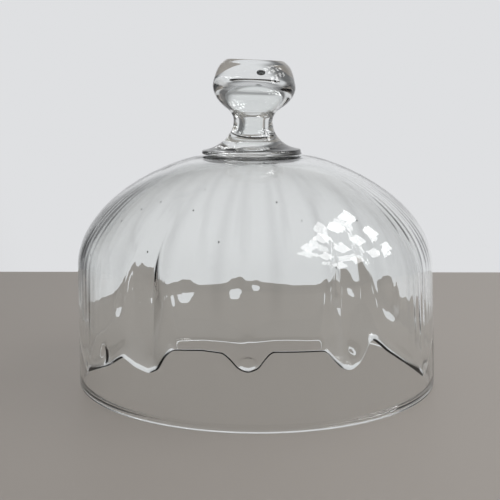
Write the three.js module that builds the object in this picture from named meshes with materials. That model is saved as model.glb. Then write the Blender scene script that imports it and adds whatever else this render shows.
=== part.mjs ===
// A glass cloche: a blown dome with ribs on its inside, and a hollow knob fused onto its crown.
// Millimetres, +Z up. The rim stands on Z = 0 and the dome's axis is the Z axis there.
import * as THREE from 'three';

// Dome, outside. The shoulder is a quarter of a superellipse that would reach SHOULDER_PEAK, but it is
// flattened to CROWN_HEIGHT under the knob.
const RIM_RADIUS = 125;
const SHOULDER_RADIUS = 122.8;
const SHOULDER_HEIGHT = 82.6;
const SHOULDER_PEAK = 161.7;
const SHOULDER_POWER_R = 1.76;
const SHOULDER_POWER_Z = 1.9;
const CROWN_HEIGHT = 156.4;
const CROWN_FLATTENING = 1;

// Dome, wall. The rim is a thicker bead, rounded on both sides of a narrow flat ring.
const RIM_WALL = 4;
const RIM_EDGE = 1.5;
const BEAD_HEIGHT = 6;
const SKIRT_WALL = 2.4;
const BODY_WALL = 3.1;
const SHOULDER_WALL = 6.2;
const CROWN_WALL = 5.4;
const THICKENING_FROM = 46;
const THICKENING_TO = 113;

// Ribs on the inside. Each one runs down to a rounded toe, and the thick wall between two ribs ends
// higher up, in a step of its own.
const RIB_COUNT = 11;
const RIB_TURN = THREE.MathUtils.degToRad(-2.9);
const RIB_RISE = 1.3;
const RIB_SHARPNESS = 3;
const RIB_TOE_HEIGHT = 33;
const WALL_TOE_HEIGHT = 50;
const TOE_INNER_ARC = 3;
const TOE_OUTER_ARC = 15;
const TOE_RUN = 5;
const DOME_SEGMENTS = 8 * RIB_COUNT;

// Knob
const WAFER_RADIUS = 9;
const WAFER_BULGE = 0.3;
const FOOT_BASE = 157.3;
const FOOT_RADIUS = 34.2;
const FOOT_EDGE_RADIUS = 1.7;
const FOOT_EDGE_HEIGHT = 158.5;
const FOOT_TOP = 169.3;
const STEM_FOOT_RADIUS = 17;
const STEM_TOP = 187;
const STEM_TOP_RADIUS = 17.2;
const BORE_FOOT_RADIUS = 9.5;
const BORE_TOP_RADIUS = 12.2;
const KNOB_TOP = 220.4;
const KNOB_FLAT_RADIUS = 19.4;
const KNOB_SEGMENTS = 36;

// Hand work: how far the glass stands off the axis along X at each height, as [height, shift], and how
// steeply its level planes rise towards +X, as [height, slope].
const SWAY = [
  [0, 0], [100, -1.4], [CROWN_HEIGHT, -2], [158.1, -3.9], [180, -2.7], [203, -2], [KNOB_TOP, -1.4],
];
const TILT = [[CROWN_HEIGHT, 0], [FOOT_BASE, 0.014], [KNOB_TOP, -0.044]];

const CLEAR_GLASS = { color: 0xe9efec, roughness: 0.03, metalness: 0, transparent: true, opacity: 0.35 };

// ---- Shape tools ----

function v(radius, height) {
  return new THREE.Vector2(radius, height);
}

// Points along a smooth line through the given ones.
function smoothLine(points, divisions) {
  return new THREE.SplineCurve(points).getPoints(divisions);
}

// The value at a height in a table of [height, value], with a soft passage from one to the next.
function softTable(table, height) {
  let value = table[0][1];
  for (let row = 1; row < table.length; row += 1) {
    const passed = THREE.MathUtils.smoothstep(height, table[row - 1][0], table[row][0]);
    value += passed * (table[row][1] - table[row - 1][1]);
  }
  return value;
}

// Shifts and tilts turned glass as the hand work left it.
function handWorked(geometry) {
  const position = geometry.attributes.position;
  for (let vertex = 0; vertex < position.count; vertex += 1) {
    const height = position.getZ(vertex);
    const across = position.getX(vertex);
    position.setX(vertex, across + softTable(SWAY, height));
    position.setZ(vertex, height + across * softTable(TILT, height));
  }
  return geometry;
}

// A glass piece from a geometry turned about Y, stood up on Z. Its first point then faces -Y.
function turnedGlass(name, geometry) {
  geometry.rotateX(Math.PI / 2);
  const mesh = new THREE.Mesh(handWorked(geometry), new THREE.MeshStandardMaterial(CLEAR_GLASS));
  mesh.name = name;
  return mesh;
}

// ---- Dome ----

// The lesser of two heights, with a soft turn from one to the other.
function softLesser(a, b, softness) {
  return a - softness * Math.log(1 + Math.exp((a - b) / softness));
}

// The outside outline from just above the rim up to the axis.
function domeOutside() {
  const wallHeights = [RIM_EDGE, BEAD_HEIGHT, 18, 30, 33.5, 36.5, 39.5, 43, 46.5, 50, 53, 56, 66];
  const wall = wallHeights.map((height) => {
    const share = height / SHOULDER_HEIGHT;
    return v(THREE.MathUtils.lerp(RIM_RADIUS, SHOULDER_RADIUS, share), height);
  });
  const shoulderSteps = 12;
  const shoulder = [];
  for (let step = 0; step <= shoulderSteps; step += 1) {
    const angle = (Math.PI / 2) * (step / shoulderSteps);
    const radius = SHOULDER_RADIUS * Math.cos(angle) ** (2 / SHOULDER_POWER_R);
    const rise = (SHOULDER_PEAK - SHOULDER_HEIGHT) * Math.sin(angle) ** (2 / SHOULDER_POWER_Z);
    const height = softLesser(SHOULDER_HEIGHT + rise, CROWN_HEIGHT, CROWN_FLATTENING);
    shoulder.push(v(step === shoulderSteps ? 0 : radius, height));
  }
  return [...wall, ...shoulder];
}

// How strongly a rib stands out at an angle: 1 on its ridge and 0 midway to the next.
function ribShape(angle) {
  const wave = (1 + Math.cos(RIB_COUNT * (angle - RIB_TURN))) / 2;
  return wave ** RIB_SHARPNESS;
}

// The height at which the thick wall begins: low in a round toe under each rib, high between them.
function toeHeight(angle) {
  const pitch = (2 * Math.PI) / RIB_COUNT;
  const fromRib = angle - RIB_TURN - pitch * Math.round((angle - RIB_TURN) / pitch);
  const arc = Math.abs(fromRib) * SHOULDER_RADIUS;
  const clear = THREE.MathUtils.smoothstep(arc, TOE_INNER_ARC, TOE_OUTER_ARC);
  return THREE.MathUtils.lerp(RIB_TOE_HEIGHT, WALL_TOE_HEIGHT, clear);
}

function wallThickness(height, angle) {
  const bead = 1 - THREE.MathUtils.smoothstep(height, RIM_EDGE, BEAD_HEIGHT);
  const skirt = THREE.MathUtils.lerp(SKIRT_WALL, RIM_WALL, bead);
  const toe = toeHeight(angle);
  const pastToe = THREE.MathUtils.smoothstep(height, toe, toe + TOE_RUN);
  const onShoulder = THREE.MathUtils.smoothstep(height, THICKENING_FROM, THICKENING_TO);
  const onCrown = THREE.MathUtils.smoothstep(height, THICKENING_TO, CROWN_HEIGHT);
  const wall = THREE.MathUtils.lerp(BODY_WALL, SHOULDER_WALL, onShoulder);
  const body = THREE.MathUtils.lerp(wall, CROWN_WALL, onCrown);
  const ribRise = RIB_RISE * ribShape(angle) * (1 - onShoulder / 2) * (1 - onCrown);
  return skirt + pastToe * (body - SKIRT_WALL + ribRise);
}

// The inward normal of the outside outline at each of its points.
function inwardNormals(outline) {
  return outline.map((point, index) => {
    if (point.x === 0) return v(0, -1);
    const before = outline[Math.max(index - 1, 0)];
    const after = outline[Math.min(index + 1, outline.length - 1)];
    const along = after.clone().sub(before).normalize();
    return v(-along.y, along.x);
  });
}

function domeBell() {
  const outside = domeOutside();
  const inward = inwardNormals(outside);
  const inside = outside.map((point, index) => {
    const wall = wallThickness(point.y, RIB_TURN);
    return point.clone().addScaledVector(inward[index], wall);
  });
  const rim = [v(RIM_RADIUS - RIM_WALL + RIM_EDGE, 0), v(RIM_RADIUS - RIM_EDGE, 0)];
  const outline = [...inside.reverse(), ...rim, ...outside];
  const geometry = new THREE.LatheGeometry(outline, DOME_SEGMENTS);

  // Each point of the inside moves along its normal to the wall's own thickness at that angle.
  const position = geometry.attributes.position;
  const last = outside.length - 1;
  for (let segment = 0; segment <= DOME_SEGMENTS; segment += 1) {
    const angle = (segment % DOME_SEGMENTS) * ((2 * Math.PI) / DOME_SEGMENTS);
    for (let step = 0; step <= last; step += 1) {
      const outer = outside[last - step];
      const normal = inward[last - step];
      const wall = wallThickness(outer.y, angle);
      const radius = Math.max(outer.x + normal.x * wall, 0);
      position.setXYZ(
        segment * outline.length + step,
        radius * Math.sin(angle), outer.y + normal.y * wall, radius * Math.cos(angle));
    }
  }
  return turnedGlass('dome_bell', geometry);
}

// ---- Knob ----

// The bit of hot glass that joins the knob's foot to the crown.
function crownWafer() {
  return turnedGlass('crown_wafer', new THREE.LatheGeometry([
    v(0, CROWN_HEIGHT),
    v(WAFER_RADIUS, CROWN_HEIGHT),
    v(WAFER_RADIUS + WAFER_BULGE, (CROWN_HEIGHT + FOOT_BASE) / 2),
    v(WAFER_RADIUS, FOOT_BASE),
    v(0, FOOT_BASE),
  ], KNOB_SEGMENTS));
}

// A spread disc with a rounded edge, whose upper side sweeps up into the neck.
function knobFoot() {
  const edge = [];
  const edgeSteps = 6;
  for (let step = 0; step <= edgeSteps; step += 1) {
    const angle = Math.PI * (step / edgeSteps - 0.5);
    edge.push(v(
      FOOT_RADIUS + FOOT_EDGE_RADIUS * (Math.cos(angle) - 1),
      FOOT_EDGE_HEIGHT + FOOT_EDGE_RADIUS * Math.sin(angle)));
  }
  const sweep = smoothLine([
    edge[edgeSteps], v(28.6, 161.1), v(24.4, 162.9), v(20.4, 165.6), v(STEM_FOOT_RADIUS, FOOT_TOP),
  ], 8).slice(1);
  return turnedGlass('knob_foot', new THREE.LatheGeometry([
    v(0, FOOT_BASE), v(WAFER_RADIUS, FOOT_BASE), v(20, 157), ...edge, ...sweep, v(0, FOOT_TOP),
  ], KNOB_SEGMENTS));
}

// The neck between foot and ball, with its bore.
function knobStem() {
  const outside = smoothLine([
    v(STEM_FOOT_RADIUS, FOOT_TOP), v(14.6, 173.4), v(13.5, 178), v(13.6, 181.4), v(14.9, 184.3),
    v(STEM_TOP_RADIUS, STEM_TOP),
  ], 10);
  const bore = smoothLine([
    v(BORE_TOP_RADIUS, STEM_TOP), v(9.5, 184.4), v(7.7, 182.8), v(7.1, 179.5), v(7.2, 175), v(7.9, 171.6),
    v(BORE_FOOT_RADIUS, FOOT_TOP),
  ], 12);
  return turnedGlass('knob_stem', new THREE.LatheGeometry([...outside, ...bore, outside[0]], KNOB_SEGMENTS));
}

// The ball: a bubble that opens into the neck, under a thick top that is ground flat.
function knobBulb() {
  const outside = smoothLine([
    v(STEM_TOP_RADIUS, STEM_TOP), v(22.1, 190.8), v(25.7, 195), v(27.8, 199.4), v(28.3, 203.2),
    v(27.3, 208), v(25.7, 213), v(23.2, 217.3), v(KNOB_FLAT_RADIUS, KNOB_TOP),
  ], 18);
  const cavity = smoothLine([
    v(0, 206.9), v(10, 206.8), v(15.3, 206.5), v(17.4, 205.8), v(18.9, 204.3), v(19.8, 202.2), v(20.4, 199.6),
    v(20, 196.5), v(18.2, 193.2), v(15.2, 190.1), v(BORE_TOP_RADIUS, STEM_TOP),
  ], 20);
  return turnedGlass('knob_bulb', new THREE.LatheGeometry(
    [...cavity, ...outside, v(0, KNOB_TOP)], KNOB_SEGMENTS));
}

const cloche = new THREE.Group();
cloche.add(domeBell(), crownWafer(), knobFoot(), knobStem(), knobBulb());

export default cloche;
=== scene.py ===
"""A blown glass cloche: fine clear glass in place of each CAD solid, on a pale table in soft studio light."""
import math

import bpy
import numpy as np
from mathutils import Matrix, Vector


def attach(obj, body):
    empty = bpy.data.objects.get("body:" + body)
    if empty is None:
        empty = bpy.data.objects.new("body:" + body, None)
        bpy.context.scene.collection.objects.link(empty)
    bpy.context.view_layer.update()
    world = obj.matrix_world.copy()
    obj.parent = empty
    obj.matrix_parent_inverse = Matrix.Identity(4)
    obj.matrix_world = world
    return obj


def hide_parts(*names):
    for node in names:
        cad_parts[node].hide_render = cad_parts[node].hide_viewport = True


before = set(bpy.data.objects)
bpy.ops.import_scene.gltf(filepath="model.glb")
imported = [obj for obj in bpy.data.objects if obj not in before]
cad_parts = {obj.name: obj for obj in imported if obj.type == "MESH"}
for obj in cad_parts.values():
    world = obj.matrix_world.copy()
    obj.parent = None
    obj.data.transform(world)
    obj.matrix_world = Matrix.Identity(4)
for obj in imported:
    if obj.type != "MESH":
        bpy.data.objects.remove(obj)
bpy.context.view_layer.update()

# ---- Sizes in millimetres, as the CAD model has them ----

MM = 0.001
RIM_RADIUS = 124.98
SHOULDER_RADIUS = 122.8
SHOULDER_HEIGHT = 82.6
SHOULDER_PEAK = 161.7
SHOULDER_POWER_R = 1.76
SHOULDER_POWER_Z = 1.9
CROWN_HEIGHT = 156.4
CROWN_FLATTENING = 1

RIM_WALL = 4
RIM_EDGE = 1.5
BEAD_HEIGHT = 6
SKIRT_WALL = 2.4
CROWN_WALL = 5.4
RIB_COUNT = 11
RIB_TURN = math.radians(-2.9)

WAFER_RADIUS = 9
WAFER_BULGE = 0.3
FOOT_BASE = 157.3
FOOT_RADIUS = 34.2
FOOT_EDGE_RADIUS = 1.7
FOOT_EDGE_HEIGHT = 158.5
FOOT_TOP = 169.3
STEM_FOOT_RADIUS = 17
STEM_TOP = 187
STEM_TOP_RADIUS = 17.2
BORE_FOOT_RADIUS = 9.5
BORE_TOP_RADIUS = 12.2
KNOB_TOP = 220.4
KNOB_FLAT_RADIUS = 19.4

SWAY = [(0, 0), (100, -1.4), (CROWN_HEIGHT, -2), (158.1, -3.9), (180, -2.7), (203, -2), (KNOB_TOP, -1.4)]
TILT = [(CROWN_HEIGHT, 0), (FOOT_BASE, 0.014), (KNOB_TOP, -0.044)]

# ---- Finer shape than the CAD model has ----

# The rim stands this far clear of the table, so that no face of the glass lies in the table's.
RIM_LIFT = 0.04
# The wall where it starts to thicken and at the shoulder, and how far a rib's ridge stands out of it.
BODY_WALL = 3.7
SHOULDER_WALL = 6.4
RIB_RISE = 0.9
# The wall reaches the shoulder's thickness at this height, over this run.
THICK_HEIGHT = 118
THICK_RUN = 72
THICK_POWER = 1.5
# A rib's ridge waits at the thickness of the first height, and catches up between the other two.
RIDGE_WAIT = 62
RIDGE_WAIT_SOFTNESS = 4
RIDGE_CATCH_UP = (92, 122)
# The crown's thickness, the ribs and the draw lines come and go between these heights.
CROWN_FROM = 112
RIB_FADE = (100, 154)
DRAW_LINES_FROM = (30, 60)
DRAW_LINES_FADE = (110, 150)
REAR_THICKENING = (26, 104)

# The lower edge of the thick wall in front, as (degrees round from the front, height). It drops in a round
# toe under each rib. Behind, the wall thickens slowly and only drops stand out.
EDGE_LINE = [
    (-110, 40), (-84, 42), (-64, 17), (-49, 29), (-42, 37.5), (-37, 33), (-32, 31), (-28.5, 34.5),
    (-26.3, 43), (-24, 47.5), (-15, 49), (-9, 48), (-7, 44), (-5, 38.8), (-2.2, 36.7),
    (0.8, 39), (2.6, 44.5), (4.5, 49), (12, 48.5), (20, 48), (22.2, 42), (25, 36), (28, 34.5), (31, 38),
    (33.3, 45), (35, 52), (37, 49), (41, 42), (47, 34), (62, 15), (80, 44), (110, 40),
]
# Between these degrees the edge is a low lip, and beyond them a higher step.
LIP_SPAN = (-25, 21)
LIP_BLEND = 3
LIP_RISE = 1.3
LIP_RUN = 0.65
STEP_RISE = 1.7
STEP_RUN = 2.2
# Beyond these degrees the step is weaker.
STEP_WEAKENS = (40, 54)
STEP_WEAKNESS = 0.4
# Under the rib on each side of the middle one the edge is a toe: a gentle step and then a long thick ridge.
# The toes come and go between these degrees on either side.
TOE_FROM = (12, 20)
TOE_TO = (39, 46)
TOE_STEP = 0.95
TOE_STEP_RUN = 1.8
TOE_RISE = 4.4
TOE_RUN = 14
# How far above the edge the wall has its full thickness: on a step, on a lip and on a toe's ridge.
STEP_FULL = 30
LIP_FULL = 20
TOE_FULL = (40, 75)
# The raised middle of the drop under the front rib fades out this far above the edge.
RING_FADE = (8, 14)
RING_MIDDLE = (math.radians(-2.3), 42.3)
RING_SIZE = (6.2, 3.9)
RING_RISE = 1.1
# Draw lines, and a bundle of stronger ones, in degrees round.
DRAW_LINE_RISE = 0.04
BUNDLE_MIDDLE = 60
BUNDLE_WIDTH = 7
BUNDLE_RISE = 0.1
# Drops on the wall: degrees round, height, half width, half height and rise. On the rear wall each has a
# long tail above it.
DROPS = [
    (-171.5, 40, 9.5, 13, 2.6), (-151, 41, 11, 8, 1.9), (-134, 41, 3.5, 7, 1.2), (-141, 41, 2.6, 5, 0.9),
    (-119, 42, 4.5, 10, 1.7), (179.5, 43, 5, 9, 1.5), (153.5, 41, 5, 12, 1.8), (141, 45, 3.4, 7, 1.2),
    (134.5, 42, 5, 11, 1.8), (120.5, 40, 13, 12, 2.2), (-51.5, 35.5, 4.5, 7, 1.2),
]
DROP_TAIL = 32
REAR_FROM = 90
# How far each rib stands off its even place, in degrees, and how strong it is.
RIB_DRIFT = [0, -0.6, 0.5, 1.2, -2.2, 0.8, 1.4, -1.5, 0.6, 1.1, 0.9]
RIB_STRENGTH = [0.6, 1, 0.4, 0.45, 1.05, 0.85, 1.1, 0.9, 0.45, 0.4, 1.05]

# Small bubbles in the dome's wall, as (degrees round, height).
SEEDS = [
    (-53, 118), (-47, 126), (-40, 131), (-34, 104), (-23, 128), (-11, 112), (9, 133), (24, 97), (38, 121),
    (-62, 95), (71, 102), (-120, 110), (130, 120), (160, 96), (-155, 125),
]
SEED_SIZE = 0.45
SEED_STRETCH = 1.6
SEED_DEPTH = 2.2

KNOB_SEGMENTS = 256
GLASS_IOR = 1.52


# ---- Shape tools ----

def smoothstep(x, low, high):
    t = np.clip((x - low) / (high - low), 0, 1)
    return t * t * (3 - 2 * t)


def soft_table(table, height):
    """The value at a height in a table of (height, value), with a soft passage from one to the next."""
    value = np.full(np.shape(height), float(table[0][1]))
    for before, after in zip(table, table[1:]):
        value = value + smoothstep(height, before[0], after[0]) * (after[1] - before[1])
    return value


def hand_worked(points):
    """Shifts and tilts turned glass as the hand work left it. Points are an array of x, y, z."""
    across, height = points[:, 0].copy(), points[:, 2].copy()
    points[:, 0] = across + soft_table(SWAY, height)
    points[:, 2] = height + across * soft_table(TILT, height)
    return points


def smooth_line(points, steps):
    """Points along a smooth line through the given ones, with steps between each two."""
    ends = [points[0], *points, points[-1]]
    line = []
    for p0, p1, p2, p3 in zip(ends, ends[1:], ends[2:], ends[3:]):
        for step in range(steps):
            t = step / steps
            line.append(tuple(
                0.5 * (2 * b + (c - a) * t + (2 * a - 5 * b + 4 * c - d) * t * t
                       + (3 * b - a - 3 * c + d) * t ** 3)
                for a, b, c, d in zip(p0, p1, p2, p3)))
    return [*line, tuple(points[-1])]


def straight(start, end, steps):
    """Points from start up to but without end."""
    return [tuple(a + (b - a) * step / steps for a, b in zip(start, end)) for step in range(steps)]


def arc(centre, radius, first, last, steps):
    """Points on an arc, angles in degrees from the outward direction, with both ends."""
    angles = np.radians(np.linspace(first, last, steps + 1))
    return [(centre[0] + radius * math.cos(a), centre[1] + radius * math.sin(a)) for a in angles]


def even_angles(segments):
    return np.arange(segments) * 2 * math.pi / segments


def turned_rows(outline, angles):
    """Rings of points, one per point of the outline. Angle 0 faces -Y."""
    radius = np.array([p[0] for p in outline])[:, None]
    height = np.array([p[1] for p in outline])[:, None]
    return np.stack([
        radius * np.sin(angles), -radius * np.cos(angles),
        np.broadcast_to(height, (len(outline), len(angles))),
    ], axis=-1)


def ring_mesh(name, rows, materials, bands, closed):
    """A closed skin over rings of points. Where closed is False, the first and last ring are one point each.
    Bands maps the ring that a band of faces starts from to the place of its material."""
    count, segments, _ = rows.shape
    points, first = [], []
    total = 0
    for row in range(count):
        pole = not closed and row in (0, count - 1)
        ring = rows[row][:1] * (0, 0, 1) if pole else rows[row]
        first.append(total)
        points.append(ring)
        total += len(ring)
    points = hand_worked(np.concatenate(points)) * MM
    faces, slots = [], []
    around = np.arange(segments)
    onward = (around + 1) % segments
    for row in range(count if closed else count - 1):
        after = (row + 1) % count
        a, b = first[row], first[after]
        if not closed and row == 0:
            band = [(a, b + k2, b + k1) for k1, k2 in zip(around, onward)]
        elif not closed and after == count - 1:
            band = [(a + k1, a + k2, b) for k1, k2 in zip(around, onward)]
        else:
            band = [(a + k1, a + k2, b + k2, b + k1) for k1, k2 in zip(around, onward)]
        faces += [tuple(int(i) for i in face) for face in band]
        slots += [bands.get(row, 0)] * segments
    mesh = bpy.data.meshes.new(name)
    mesh.from_pydata(points.tolist(), [], faces)
    mesh.polygons.foreach_set("material_index", slots)
    mesh.polygons.foreach_set("use_smooth", [True] * len(faces))
    for material in materials:
        mesh.materials.append(material)
    mesh.update()
    piece = bpy.data.objects.new(name, mesh)
    bpy.context.collection.objects.link(piece)
    return piece


def glass_piece(name, rows, materials, node, bands, closed=False):
    piece = ring_mesh(name, rows, materials, bands, closed)
    piece.data.set_sharp_from_angle(angle=math.radians(40))
    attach(piece, "root")
    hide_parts(node)
    return piece


# ---- Materials ----

def shader_nodes(name):
    material = bpy.data.materials.new(name)
    material.use_nodes = True
    nodes = material.node_tree.nodes
    nodes.clear()
    return material, nodes, material.node_tree.links


def noise_bump(nodes, links, size, depth, stretch, onto=None):
    """A bump of the given depth from noise of the given size, drawn out along Z by stretch."""
    place = nodes.new("ShaderNodeTexCoord")
    drawn = nodes.new("ShaderNodeVectorMath")
    drawn.operation = "MULTIPLY"
    drawn.inputs[1].default_value = (1 / size, 1 / size, 1 / (size * stretch))
    links.new(place.outputs["Object"], drawn.inputs[0])
    noise = nodes.new("ShaderNodeTexNoise")
    noise.inputs["Scale"].default_value = 1
    noise.inputs["Detail"].default_value = 1.5
    links.new(drawn.outputs[0], noise.inputs["Vector"])
    bump = nodes.new("ShaderNodeBump")
    bump.inputs["Strength"].default_value = 1
    bump.inputs["Distance"].default_value = depth
    links.new(noise.outputs["Fac"], bump.inputs["Height"])
    if onto:
        links.new(onto.outputs["Normal"], bump.inputs["Normal"])
    return bump


def maths(nodes, links, operation, first, second=0.0):
    """A math node's output. Second is a number or another output."""
    node = nodes.new("ShaderNodeMath")
    node.operation = operation
    links.new(first, node.inputs[0])
    if isinstance(second, (int, float)):
        node.inputs[1].default_value = second
    else:
        links.new(second, node.inputs[1])
    return node.outputs[0]


def soft_range(nodes, links, value, low, high, least, most):
    """A value's soft passage from least at low to most at high."""
    passage = nodes.new("ShaderNodeMapRange")
    passage.interpolation_type = "SMOOTHSTEP"
    passage.inputs["From Min"].default_value = low
    passage.inputs["From Max"].default_value = high
    passage.inputs["To Min"].default_value = least
    passage.inputs["To Max"].default_value = most
    links.new(value, passage.inputs["Value"])
    return passage.outputs["Result"]


# Painted shade on the ribs' flanks, standing in for the shading that refraction and reflection give over the
# ribs. A rib's flank is this wide, as a share of the cosine wave round the dome, and the painted shade is
# this dark at most.
FLANK_WIDTH = 0.6
FLANK_PAINTED_SHADE = 0.18
FLANK_PAINTED_SHADE_COLOUR = (0.5, 0.5, 0.5, 1)
# The painted shade on the flanks comes and goes between these heights, in metres.
FLANK_PAINTED_SHADE_FROM = (0.055, 0.1)
FLANK_PAINTED_SHADE_FADE = (0.135, 0.155)
# A Mix node has several sockets of each name. These are the places of the colour ones.
MIX_FIRST = 6
MIX_SECOND = 7
MIX_RESULT = 2


def painted_rib_flank_shade(nodes, links, tint):
    """The tint with painted shade: a little darker over the shoulder on both flanks of each rib, standing in
    for the shading that the ribs' refraction and reflection give.
    """
    place = nodes.new("ShaderNodeTexCoord")
    split = nodes.new("ShaderNodeSeparateXYZ")
    links.new(place.outputs["Object"], split.inputs[0])
    backwards = maths(nodes, links, "MULTIPLY", split.outputs["Y"], -1)
    turn = maths(nodes, links, "ARCTAN2", split.outputs["X"], backwards)
    from_rib = maths(nodes, links, "SUBTRACT", turn, RIB_TURN)
    wave = maths(nodes, links, "COSINE", maths(nodes, links, "MULTIPLY", from_rib, RIB_COUNT))
    flank = soft_range(nodes, links, maths(nodes, links, "ABSOLUTE", wave), 0, FLANK_WIDTH, 1, 0)
    low = soft_range(nodes, links, split.outputs["Z"], *FLANK_PAINTED_SHADE_FROM, 0, FLANK_PAINTED_SHADE)
    high = soft_range(nodes, links, split.outputs["Z"], *FLANK_PAINTED_SHADE_FADE, 1, 0)
    shade = maths(nodes, links, "MULTIPLY", maths(nodes, links, "MULTIPLY", flank, low), high)
    mix = nodes.new("ShaderNodeMix")
    mix.data_type = "RGBA"
    links.new(shade, mix.inputs["Factor"])
    mix.inputs[MIX_FIRST].default_value = (*tint, 1)
    mix.inputs[MIX_SECOND].default_value = FLANK_PAINTED_SHADE_COLOUR
    return mix.outputs[MIX_RESULT]


def clear_glass(name, tint, shade, ripples, paint_rib_shade=False):
    """Blown glass. Light for the surfaces behind it passes straight through, dimmed by shade. Ripples are the
    size, depth and upright stretch of the uneven surface, coarse to fine, in metres."""
    material, nodes, links = shader_nodes(name)
    glass = nodes.new("ShaderNodeBsdfPrincipled")
    glass.inputs["Base Color"].default_value = (*tint, 1)
    glass.inputs["Roughness"].default_value = 0.0
    glass.inputs["IOR"].default_value = GLASS_IOR
    glass.inputs["Transmission Weight"].default_value = 1
    # Painted shade: the base colour is darkened on the ribs' flanks.
    if paint_rib_shade:
        links.new(painted_rib_flank_shade(nodes, links, tint), glass.inputs["Base Color"])
    bump = None
    for size, depth, stretch in ripples:
        bump = noise_bump(nodes, links, size, depth, stretch, bump)
    links.new(bump.outputs["Normal"], glass.inputs["Normal"])
    through = nodes.new("ShaderNodeBsdfTransparent")
    through.inputs["Color"].default_value = (shade, shade, shade, 1)
    path = nodes.new("ShaderNodeLightPath")
    either = maths(nodes, links, "MAXIMUM", path.outputs["Is Shadow Ray"], path.outputs["Is Diffuse Ray"])
    mix = nodes.new("ShaderNodeMixShader")
    links.new(either, mix.inputs["Fac"])
    links.new(glass.outputs[0], mix.inputs[1])
    links.new(through.outputs[0], mix.inputs[2])
    output = nodes.new("ShaderNodeOutputMaterial")
    links.new(mix.outputs[0], output.inputs["Surface"])
    return material


def ground_flat():
    """The flat on the knob's top, ground and polished: clear, but not as smooth as blown glass."""
    material, nodes, links = shader_nodes("ground_flat")
    glass = nodes.new("ShaderNodeBsdfPrincipled")
    glass.inputs["Base Color"].default_value = (0.98, 0.99, 0.99, 1)
    glass.inputs["Roughness"].default_value = 0.04
    glass.inputs["IOR"].default_value = GLASS_IOR
    glass.inputs["Transmission Weight"].default_value = 1
    output = nodes.new("ShaderNodeOutputMaterial")
    links.new(glass.outputs[0], output.inputs["Surface"])
    return material


def air_bubble():
    """The skin of a bubble in glass: the light passes from glass to air on its way in."""
    material, nodes, links = shader_nodes("air_bubble")
    glass = nodes.new("ShaderNodeBsdfGlass")
    # Painted shade: the grey colour darkens each bubble, which clear air would not do.
    glass.inputs["Color"].default_value = (0.35, 0.36, 0.36, 1)
    glass.inputs["Roughness"].default_value = 0.0
    glass.inputs["IOR"].default_value = 1 / GLASS_IOR
    output = nodes.new("ShaderNodeOutputMaterial")
    links.new(glass.outputs[0], output.inputs["Surface"])
    return material


def fused_seam():
    """The face where two pieces of glass have flowed together: nothing is seen there."""
    material, nodes, links = shader_nodes("fused_seam")
    through = nodes.new("ShaderNodeBsdfTransparent")
    output = nodes.new("ShaderNodeOutputMaterial")
    links.new(through.outputs[0], output.inputs["Surface"])
    return material


def matt_surface(name, colour, roughness):
    material, nodes, links = shader_nodes(name)
    surface = nodes.new("ShaderNodeBsdfPrincipled")
    surface.inputs["Base Color"].default_value = (*colour, 1)
    surface.inputs["Roughness"].default_value = roughness
    output = nodes.new("ShaderNodeOutputMaterial")
    links.new(surface.outputs[0], output.inputs["Surface"])
    return material


# ---- Dome ----

def outside_outline(heights, shoulder_steps):
    """The dome's outline: the wall at the given heights, then the shoulder up to the axis."""
    wall = [
        (RIM_RADIUS + (SHOULDER_RADIUS - RIM_RADIUS) * height / SHOULDER_HEIGHT, height)
        for height in heights
    ]
    shoulder = []
    for step in range(shoulder_steps + 1):
        angle = math.pi / 2 * step / shoulder_steps
        radius = SHOULDER_RADIUS * max(math.cos(angle), 0) ** (2 / SHOULDER_POWER_R)
        rise = (SHOULDER_PEAK - SHOULDER_HEIGHT) * math.sin(angle) ** (2 / SHOULDER_POWER_Z)
        above = SHOULDER_HEIGHT + rise
        height = above - CROWN_FLATTENING * math.log(1 + math.exp((above - CROWN_HEIGHT) / CROWN_FLATTENING))
        shoulder.append((0 if step == shoulder_steps else radius, height))
    return wall + shoulder


def half_turn(angles):
    """The same angles, between minus and plus half a turn."""
    return (angles + math.pi) % (2 * math.pi) - math.pi


def line_height(table, angles):
    """A line's height from a table of (degrees, height), rounded at its corners."""
    fine = np.arange(-180, 180, 0.1)
    heights = np.interp(fine, [point[0] for point in table], [point[1] for point in table])
    reach = np.arange(-40, 41) * 0.1
    weights = np.exp(-(reach / 0.95) ** 2)
    smooth = np.convolve(np.pad(heights, 40, mode="wrap"), weights / weights.sum(), mode="valid")
    return np.interp(np.degrees(half_turn(angles)), fine, smooth)


def above_line(table, angles, heights):
    """How far each point lies above a line, measured square to the line."""
    fine = np.radians(np.arange(-180, 180, 0.1))
    line = np.stack([fine * SHOULDER_RADIUS, line_height(table, fine)], axis=-1)
    around = 2 * math.pi * SHOULDER_RADIUS
    distance = np.empty_like(heights)
    for column, angle in enumerate(half_turn(angles)):
        across = line[:, 0] - angle * SHOULDER_RADIUS
        across = (across + around / 2) % around - around / 2
        near = np.abs(across) < 20
        gaps = np.hypot(across[near][None, :], line[near, 1][None, :] - heights[:, column][:, None])
        distance[:, column] = gaps.min(axis=1)
    return np.where(heights < line_height(table, angles)[None, :], -distance, distance)


def rib_shape(angles):
    """How strongly the ribs stand out at each angle: up to about 1 on a ridge and 0 between two."""
    pitch = 2 * math.pi / RIB_COUNT
    total = np.zeros_like(angles)
    for rib in range(RIB_COUNT):
        away = half_turn(angles - RIB_TURN - rib * pitch - math.radians(RIB_DRIFT[rib]))
        total += RIB_STRENGTH[rib] * np.exp(-(away / (0.22 * pitch)) ** 2)
    return total


def hills(angles, heights):
    """The drops on the wall: round below, and round or long above."""
    total = np.zeros_like(heights)
    for degrees, middle, half_width, half_height, rise in DROPS:
        across = half_turn(angles - math.radians(degrees)) * SHOULDER_RADIUS
        tail = DROP_TAIL if abs(degrees) > REAR_FROM else half_height
        away = np.where(heights < middle, (middle - heights) / half_height, (heights - middle) / tail)
        total += rise * np.clip(1 - (across / half_width) ** 2 - away ** 2, 0, 1) ** 1.5
    return total


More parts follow.
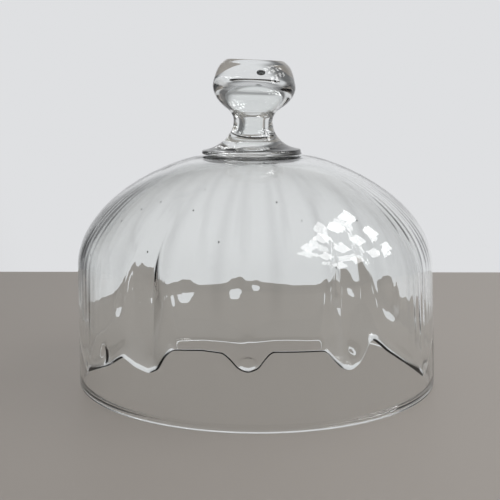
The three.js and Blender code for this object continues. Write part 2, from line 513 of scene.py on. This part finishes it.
def draw_lines(angles):
    """Fine upright lines from the blowing, strongest at the sides."""
    side = smoothstep(np.abs(np.sin(angles)), 0.7, 0.97)
    bundle = np.exp(-((np.degrees(half_turn(angles)) - BUNDLE_MIDDLE) / BUNDLE_WIDTH) ** 2)
    lines = np.sin(97 * angles + 2 * np.sin(5 * angles)) + 0.6 * np.sin(151 * angles + 3 * np.sin(7 * angles))
    return (DRAW_LINE_RISE * (0.15 + 0.85 * side) + BUNDLE_RISE * bundle) * lines


def ring(angles, heights):
    """The raised middle of the drop under the front rib."""
    across = half_turn(angles - RING_MIDDLE[0]) * SHOULDER_RADIUS
    reach = np.hypot(across / RING_SIZE[0], (heights - RING_MIDDLE[1]) / RING_SIZE[1])
    return RING_RISE * (1 - smoothstep(reach, 0.6, 1.15))


def thickening(heights):
    """The share of its full growth that the wall has reached between two ribs."""
    return 1 - np.clip((THICK_HEIGHT - heights) / THICK_RUN, 0, 1) ** THICK_POWER


def eased(past, rise, run):
    """A step that rises fast above the edge and then ever more slowly."""
    return rise * (1 - np.exp(-np.maximum(past, 0) / run))


def wall_thickness(angles, heights):
    degrees = np.degrees(half_turn(angles))
    in_front = 1 - smoothstep(np.abs(degrees), 70, 100)
    lip_part = (smoothstep(degrees, LIP_SPAN[0], LIP_SPAN[0] + LIP_BLEND)
                * (1 - smoothstep(degrees, LIP_SPAN[1] - LIP_BLEND, LIP_SPAN[1])))
    rib = rib_shape(angles)
    on_rib = np.clip(1.25 * rib, 0, 1)
    skirt = SKIRT_WALL + (RIM_WALL - SKIRT_WALL) * (1 - smoothstep(heights, RIM_EDGE, BEAD_HEIGHT))

    # The wall thickens upwards: steadily between two ribs, and in two goes on a rib.
    beside = thickening(heights)
    wait = RIDGE_WAIT_SOFTNESS * np.logaddexp(0, (RIDGE_WAIT - heights) / RIDGE_WAIT_SOFTNESS)
    ridge = thickening(RIDGE_WAIT - wait)
    ridge = ridge + (1 - thickening(RIDGE_WAIT)) * smoothstep(heights, *RIDGE_CATCH_UP)
    body = BODY_WALL + (SHOULDER_WALL - BODY_WALL) * (beside + on_rib * (ridge - beside))
    body = body + (CROWN_WALL - SHOULDER_WALL) * smoothstep(heights, CROWN_FROM, CROWN_HEIGHT)
    body = body + RIB_RISE * rib * (1 - smoothstep(heights, *RIB_FADE))
    drawn = smoothstep(heights, *DRAW_LINES_FROM) * (1 - smoothstep(heights, *DRAW_LINES_FADE))
    body = body + draw_lines(angles) * drawn

    # Above the edge comes a step, a lip or a toe, and the wall grows from it to its full thickness.
    past = above_line(EDGE_LINE, angles, heights)
    to_side = np.abs(degrees)
    toe_part = on_rib * smoothstep(to_side, *TOE_FROM) * (1 - smoothstep(to_side, *TOE_TO))
    full_at = STEP_FULL + (LIP_FULL - STEP_FULL) * lip_part + (TOE_FULL[1] - STEP_FULL) * toe_part
    full = smoothstep(past, TOE_FULL[0] * toe_part, full_at)
    weak = STEP_WEAKNESS * smoothstep(to_side, *STEP_WEAKENS)
    step = (1 - weak) * eased(past, STEP_RISE, STEP_RUN)
    low = step + lip_part * (LIP_RISE * np.clip(past / LIP_RUN, 0, 1) - step)
    toe = eased(past, TOE_STEP, TOE_STEP_RUN) + eased(past, TOE_RISE, TOE_RUN)
    low = low + toe_part * (toe - low)
    middle = lip_part * (1 - smoothstep(past, *RING_FADE)) * ring(angles, heights)
    front = low + full * (body - SKIRT_WALL - low) + middle
    behind = smoothstep(heights, *REAR_THICKENING) * (body - SKIRT_WALL)
    return skirt + in_front * front + (1 - in_front) * behind + hills(angles, heights)


def inside_rows(angles):
    """The inside's rings, from the crown's middle down to the rim. The rings follow the thick wall's lower
    edge, so that it stays crisp."""
    edge = line_height(EDGE_LINE, angles)

    def between(low, high, count):
        return [low + (high - low) * share for share in np.linspace(0, 1, count + 2)[1:-1]]

    wall = np.stack([
        *(np.full_like(edge, height) for height in (RIM_EDGE, 2, 3.2, 4.6, BEAD_HEIGHT)),
        *between(BEAD_HEIGHT, edge - 0.6, 10),
        *(edge + rise for rise in np.linspace(-0.6, 1.2, 16)),
        *(edge + rise for rise in np.linspace(1.4, 11, 28)),
        *between(edge + 11, SHOULDER_HEIGHT, 12),
    ])
    outline = np.array(outside_outline([], 34))
    along = np.gradient(outline, axis=0)
    along /= np.linalg.norm(along, axis=1)[:, None]
    along[0] = (SHOULDER_RADIUS - RIM_RADIUS, SHOULDER_HEIGHT)
    along[0] /= np.linalg.norm(along[0])
    along[-1] = (-1, 0)
    shape = (len(outline), len(angles))
    heights = np.concatenate([wall, np.broadcast_to(outline[:, 1][:, None], shape)])
    wall_radii = RIM_RADIUS + (SHOULDER_RADIUS - RIM_RADIUS) * wall / SHOULDER_HEIGHT
    radii = np.concatenate([wall_radii, np.broadcast_to(outline[:, 0][:, None], shape)])
    run = np.concatenate([np.broadcast_to(along[0], (len(wall), 2)), along])[:, :, None]
    thick = wall_thickness(angles, heights)
    inner = np.maximum(radii - run[:, 1] * thick, 0)
    rows = np.stack([inner * np.sin(angles), -inner * np.cos(angles), heights + run[:, 0] * thick], axis=-1)
    return rows[::-1]


def dome_bell(materials):
    # The columns stand closer together in front, where the step is crisp.
    angles = np.radians([*np.arange(-45, 45, 0.4), *np.arange(45, 315, 0.95)])
    inner_edge = RIM_RADIUS - RIM_WALL
    rim = [
        *arc((inner_edge + RIM_EDGE, RIM_EDGE + RIM_LIFT), RIM_EDGE, 180, 270, 8)[1:],
        *arc((RIM_RADIUS - RIM_EDGE, RIM_EDGE + RIM_LIFT), RIM_EDGE, -90, 0, 8)[:-1],
    ]
    inside = inside_rows(angles)
    outside = outside_outline([RIM_EDGE, 2.2, 4, 8, *np.linspace(16, 76, 6)], 32)
    rows = np.concatenate([inside, turned_rows(rim, angles), turned_rows(outside, angles)])
    return glass_piece("dome_bell_glass", rows, materials, "dome_bell", {})


# ---- Knob ----

def crown_wafer(materials):
    middle = (CROWN_HEIGHT + FOOT_BASE) / 2
    side = smooth_line([
        (WAFER_RADIUS, CROWN_HEIGHT), (WAFER_RADIUS + WAFER_BULGE, middle), (WAFER_RADIUS, FOOT_BASE)], 8)
    outline = [(0, CROWN_HEIGHT), *side, (0, FOOT_BASE)]
    rows = turned_rows(outline, even_angles(KNOB_SEGMENTS))
    return glass_piece("crown_wafer_glass", rows, materials, "crown_wafer",
                       {0: 1, len(outline) - 2: 1})


def knob_foot(materials):
    edge = arc((FOOT_RADIUS - FOOT_EDGE_RADIUS, FOOT_EDGE_HEIGHT), FOOT_EDGE_RADIUS, -90, 90, 24)
    sweep = smooth_line([
        edge[-1], (28.6, 161.1), (24.4, 162.9), (20.4, 165.6), (STEM_FOOT_RADIUS, FOOT_TOP)], 12)
    under = smooth_line([(WAFER_RADIUS, FOOT_BASE), (20, 157), edge[0]], 10)
    pit = smooth_line([
        (BORE_FOOT_RADIUS, FOOT_TOP), (8.3, 168.2), (6, 167.2), (3, 166.6), (0, 166.4)], 8)
    outline = [(0, FOOT_BASE), *under, *edge[1:], *sweep[1:], *pit]
    angles = even_angles(KNOB_SEGMENTS)
    rows = turned_rows(outline, angles)
    top_band = len(outline) - len(pit) - 1

    # The pit's bottom is a little uneven, and its edge is flat.
    reach = np.array([point[0] for point in pit[:-1]]) / BORE_FOOT_RADIUS
    inward = np.clip(1 - reach ** 2, 0, 1)[:, None]
    rows[top_band + 1:-1, :, 2] += inward * (0.9 * np.sin(angles) + 0.4 * np.cos(2 * angles + 1))
    return glass_piece("knob_foot_glass", rows, materials, "knob_foot", {0: 1, top_band: 1})


def knob_stem(materials):
    outside = smooth_line([
        (STEM_FOOT_RADIUS, FOOT_TOP), (14.6, 173.4), (13.5, 178), (13.6, 181.4), (14.9, 184.3),
        (STEM_TOP_RADIUS, STEM_TOP)], 12)
    bore = smooth_line([
        (BORE_TOP_RADIUS, STEM_TOP), (9.5, 184.4), (7.7, 182.8), (7.1, 179.5), (7.2, 175), (7.9, 171.6),
        (BORE_FOOT_RADIUS, FOOT_TOP)], 10)
    outline = [*outside, *bore]
    rows = turned_rows(outline, even_angles(KNOB_SEGMENTS))
    return glass_piece("knob_stem_glass", rows, materials, "knob_stem",
                       {len(outside) - 1: 1, len(outline) - 1: 1}, closed=True)


def knob_bulb(materials):
    outside = smooth_line([
        (STEM_TOP_RADIUS, STEM_TOP), (22.1, 190.8), (25.7, 195), (27.8, 199.4), (28.3, 203.2),
        (27.3, 208), (25.7, 213), (23.2, 217.3), (KNOB_FLAT_RADIUS, KNOB_TOP)], 10)
    cavity = smooth_line([
        (0, 206.9), (9, 206.7), (14, 205.9), (17.3, 204.3), (19.4, 201.9), (20.1, 199.3), (19.6, 196.4),
        (17.9, 193.2), (15.2, 190.1), (BORE_TOP_RADIUS, STEM_TOP)], 8)
    top = [*straight((KNOB_FLAT_RADIUS, KNOB_TOP), (0, KNOB_TOP), 6)[1:], (0, KNOB_TOP)]
    outline = [*cavity, *outside, *top]
    flat = {len(cavity) + len(outside) - 1 + band: 2 for band in range(len(top))}
    rows = turned_rows(outline, even_angles(KNOB_SEGMENTS))
    return glass_piece("knob_bulb_glass", rows, materials, "knob_bulb",
                       {len(cavity) - 1: 1, **flat})


def wall_place(degrees, height):
    """A seed inside the dome's wall: its middle and half sizes."""
    outline = np.array(outside_outline([0], 60))
    radius = np.interp(height, outline[:, 1], outline[:, 0]) - SEED_DEPTH
    turn = math.radians(degrees)
    shift = float(soft_table(SWAY, height))
    middle = (radius * math.sin(turn) + shift, -radius * math.cos(turn), height)
    return middle, (SEED_SIZE, SEED_SIZE, SEED_SIZE * SEED_STRETCH)


def bubbles(name, places, material):
    """Closed round skins: each place is a middle and three half sizes."""
    points, faces = [], []
    rings, segments = 10, 16
    for middle, half in places:
        start = len(points)
        points.append((middle[0], middle[1], middle[2] - half[2]))
        for ring in range(1, rings):
            lift = -math.pi / 2 + math.pi * ring / rings
            for step in range(segments):
                turn = 2 * math.pi * step / segments
                points.append((
                    middle[0] + half[0] * math.cos(lift) * math.cos(turn),
                    middle[1] + half[1] * math.cos(lift) * math.sin(turn),
                    middle[2] + half[2] * math.sin(lift)))
        points.append((middle[0], middle[1], middle[2] + half[2]))
        last = len(points) - 1
        for step in range(segments):
            after = (step + 1) % segments
            faces.append((start, start + 1 + after, start + 1 + step))
            faces.append((last, last - segments + step, last - segments + after))
            for ring in range(rings - 2):
                low = start + 1 + ring * segments
                faces.append((low + step, low + after, low + segments + after, low + segments + step))
    mesh = bpy.data.meshes.new(name)
    mesh.from_pydata((np.array(points) * MM).tolist(), [], faces)
    mesh.polygons.foreach_set("use_smooth", [True] * len(faces))
    mesh.materials.append(material)
    mesh.update()
    piece = bpy.data.objects.new(name, mesh)
    bpy.context.collection.objects.link(piece)
    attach(piece, "root")
    return piece


# The dome's glass has painted shade on its ribs' flanks.
dome_glass = clear_glass("dome_glass", (0.985, 0.995, 0.99), 0.93, [
    (0.05, 0.0003, 2), (0.014, 0.00006, 4), (0.004, 0.000004, 12)], paint_rib_shade=True)
knob_glass = clear_glass("knob_glass", (0.97, 0.985, 0.98), 0.93, [(0.03, 0.00016, 1), (0.009, 0.00001, 1)])
seam = fused_seam()
dome_bell([dome_glass])
crown_wafer([knob_glass, seam])
knob_foot([knob_glass, seam])
knob_stem([knob_glass, seam])
knob_bulb([knob_glass, seam, ground_flat()])
bubbles("dome_seeds", [wall_place(degrees, height) for degrees, height in SEEDS], air_bubble())
bubbles("bulb_bubble", [((2.2, -19.5, 211), (2.7, 1.7, 1.7))], air_bubble())


# ---- Stage, light and camera ----

TABLE_DEPTH = 0.385
BACKDROP_WAY = (math.sin(math.radians(15)), math.cos(math.radians(15)), 0)
FAR = 4.0


def flat_stage(name, corners, material):
    mesh = bpy.data.meshes.new(name)
    mesh.from_pydata(corners, [], [tuple(range(len(corners)))])
    mesh.materials.append(material)
    mesh.update()
    stage = bpy.data.objects.new(name, mesh)
    bpy.context.collection.objects.link(stage)
    return stage


def studio_world(front, sides, behind, above):
    """Soft light from all round: dim in front, more at the sides, most behind the object and some above."""
    world = bpy.data.worlds.new("studio")
    bpy.context.scene.world = world
    world.use_nodes = True
    nodes, links = world.node_tree.nodes, world.node_tree.links
    way = nodes.new("ShaderNodeTexCoord")
    total = None
    for axis, low, high, least, most in (
            ((0, 1, 0), -0.9, 0.1, front, sides),
            (BACKDROP_WAY, 0.68, 0.87, 0, behind - sides),
            ((0, 0, 1), 0.5, 1.0, 0, above - sides)):
        towards = nodes.new("ShaderNodeVectorMath")
        towards.operation = "DOT_PRODUCT"
        towards.inputs[1].default_value = axis
        links.new(way.outputs["Generated"], towards.inputs[0])
        share = soft_range(nodes, links, towards.outputs["Value"], low, high, least, most)
        total = maths(nodes, links, "ADD", total, share) if total else share
    background = nodes["Background"]
    background.inputs["Color"].default_value = (0.97, 0.98, 1.0, 1)
    links.new(total, background.inputs["Strength"])


def window(name, middle, target, columns, rows, pane, gap, power):
    """A softbox of square panes with bars between them."""
    facing = (Vector(target) - Vector(middle)).to_track_quat("-Z", "Y")
    for column in range(columns):
        for row in range(rows):
            data = bpy.data.lights.new(f"{name}_{column}_{row}", "AREA")
            data.shape = "SQUARE"
            data.size = pane
            data.energy = power / (columns * rows)
            light = bpy.data.objects.new(data.name, data)
            across = (column - (columns - 1) / 2) * (pane + gap)
            up = (row - (rows - 1) / 2) * (pane + gap)
            light.location = Vector(middle) + facing @ Vector((across, up, 0))
            light.rotation_euler = facing.to_euler()
            bpy.context.collection.objects.link(light)


table_top = matt_surface("table_top", (0.5, 0.455, 0.41), 0.55)
flat_stage("floor", [
    (-FAR, -FAR, 0), (FAR, -FAR, 0), (FAR, TABLE_DEPTH, 0), (-FAR, TABLE_DEPTH, 0)], table_top)
studio_world(front=0.07, sides=0.15, behind=0.76, above=0.6)
window("window", (1.32, -0.25, 1.3), (0, 0, 0.1), columns=4, rows=3, pane=0.25, gap=0.2, power=15)

CAMERA_PLACE = Vector((0, -0.675, 0.2031))
CAMERA_PITCH = math.radians(9.55)
CAMERA_TURN = math.radians(0.41)
camera_data = bpy.data.cameras.new("camera")
camera_data.sensor_width = 36
camera_data.lens = 70.2
camera = bpy.data.objects.new("camera", camera_data)
camera.location = CAMERA_PLACE
camera.rotation_euler = (math.pi / 2 - CAMERA_PITCH, 0, CAMERA_TURN)
bpy.context.collection.objects.link(camera)
bpy.context.scene.camera = camera

scene = bpy.context.scene
scene.cycles.max_bounces = 24
scene.cycles.transmission_bounces = 24
scene.cycles.transparent_max_bounces = 24
scene.view_settings.view_transform = "Standard"
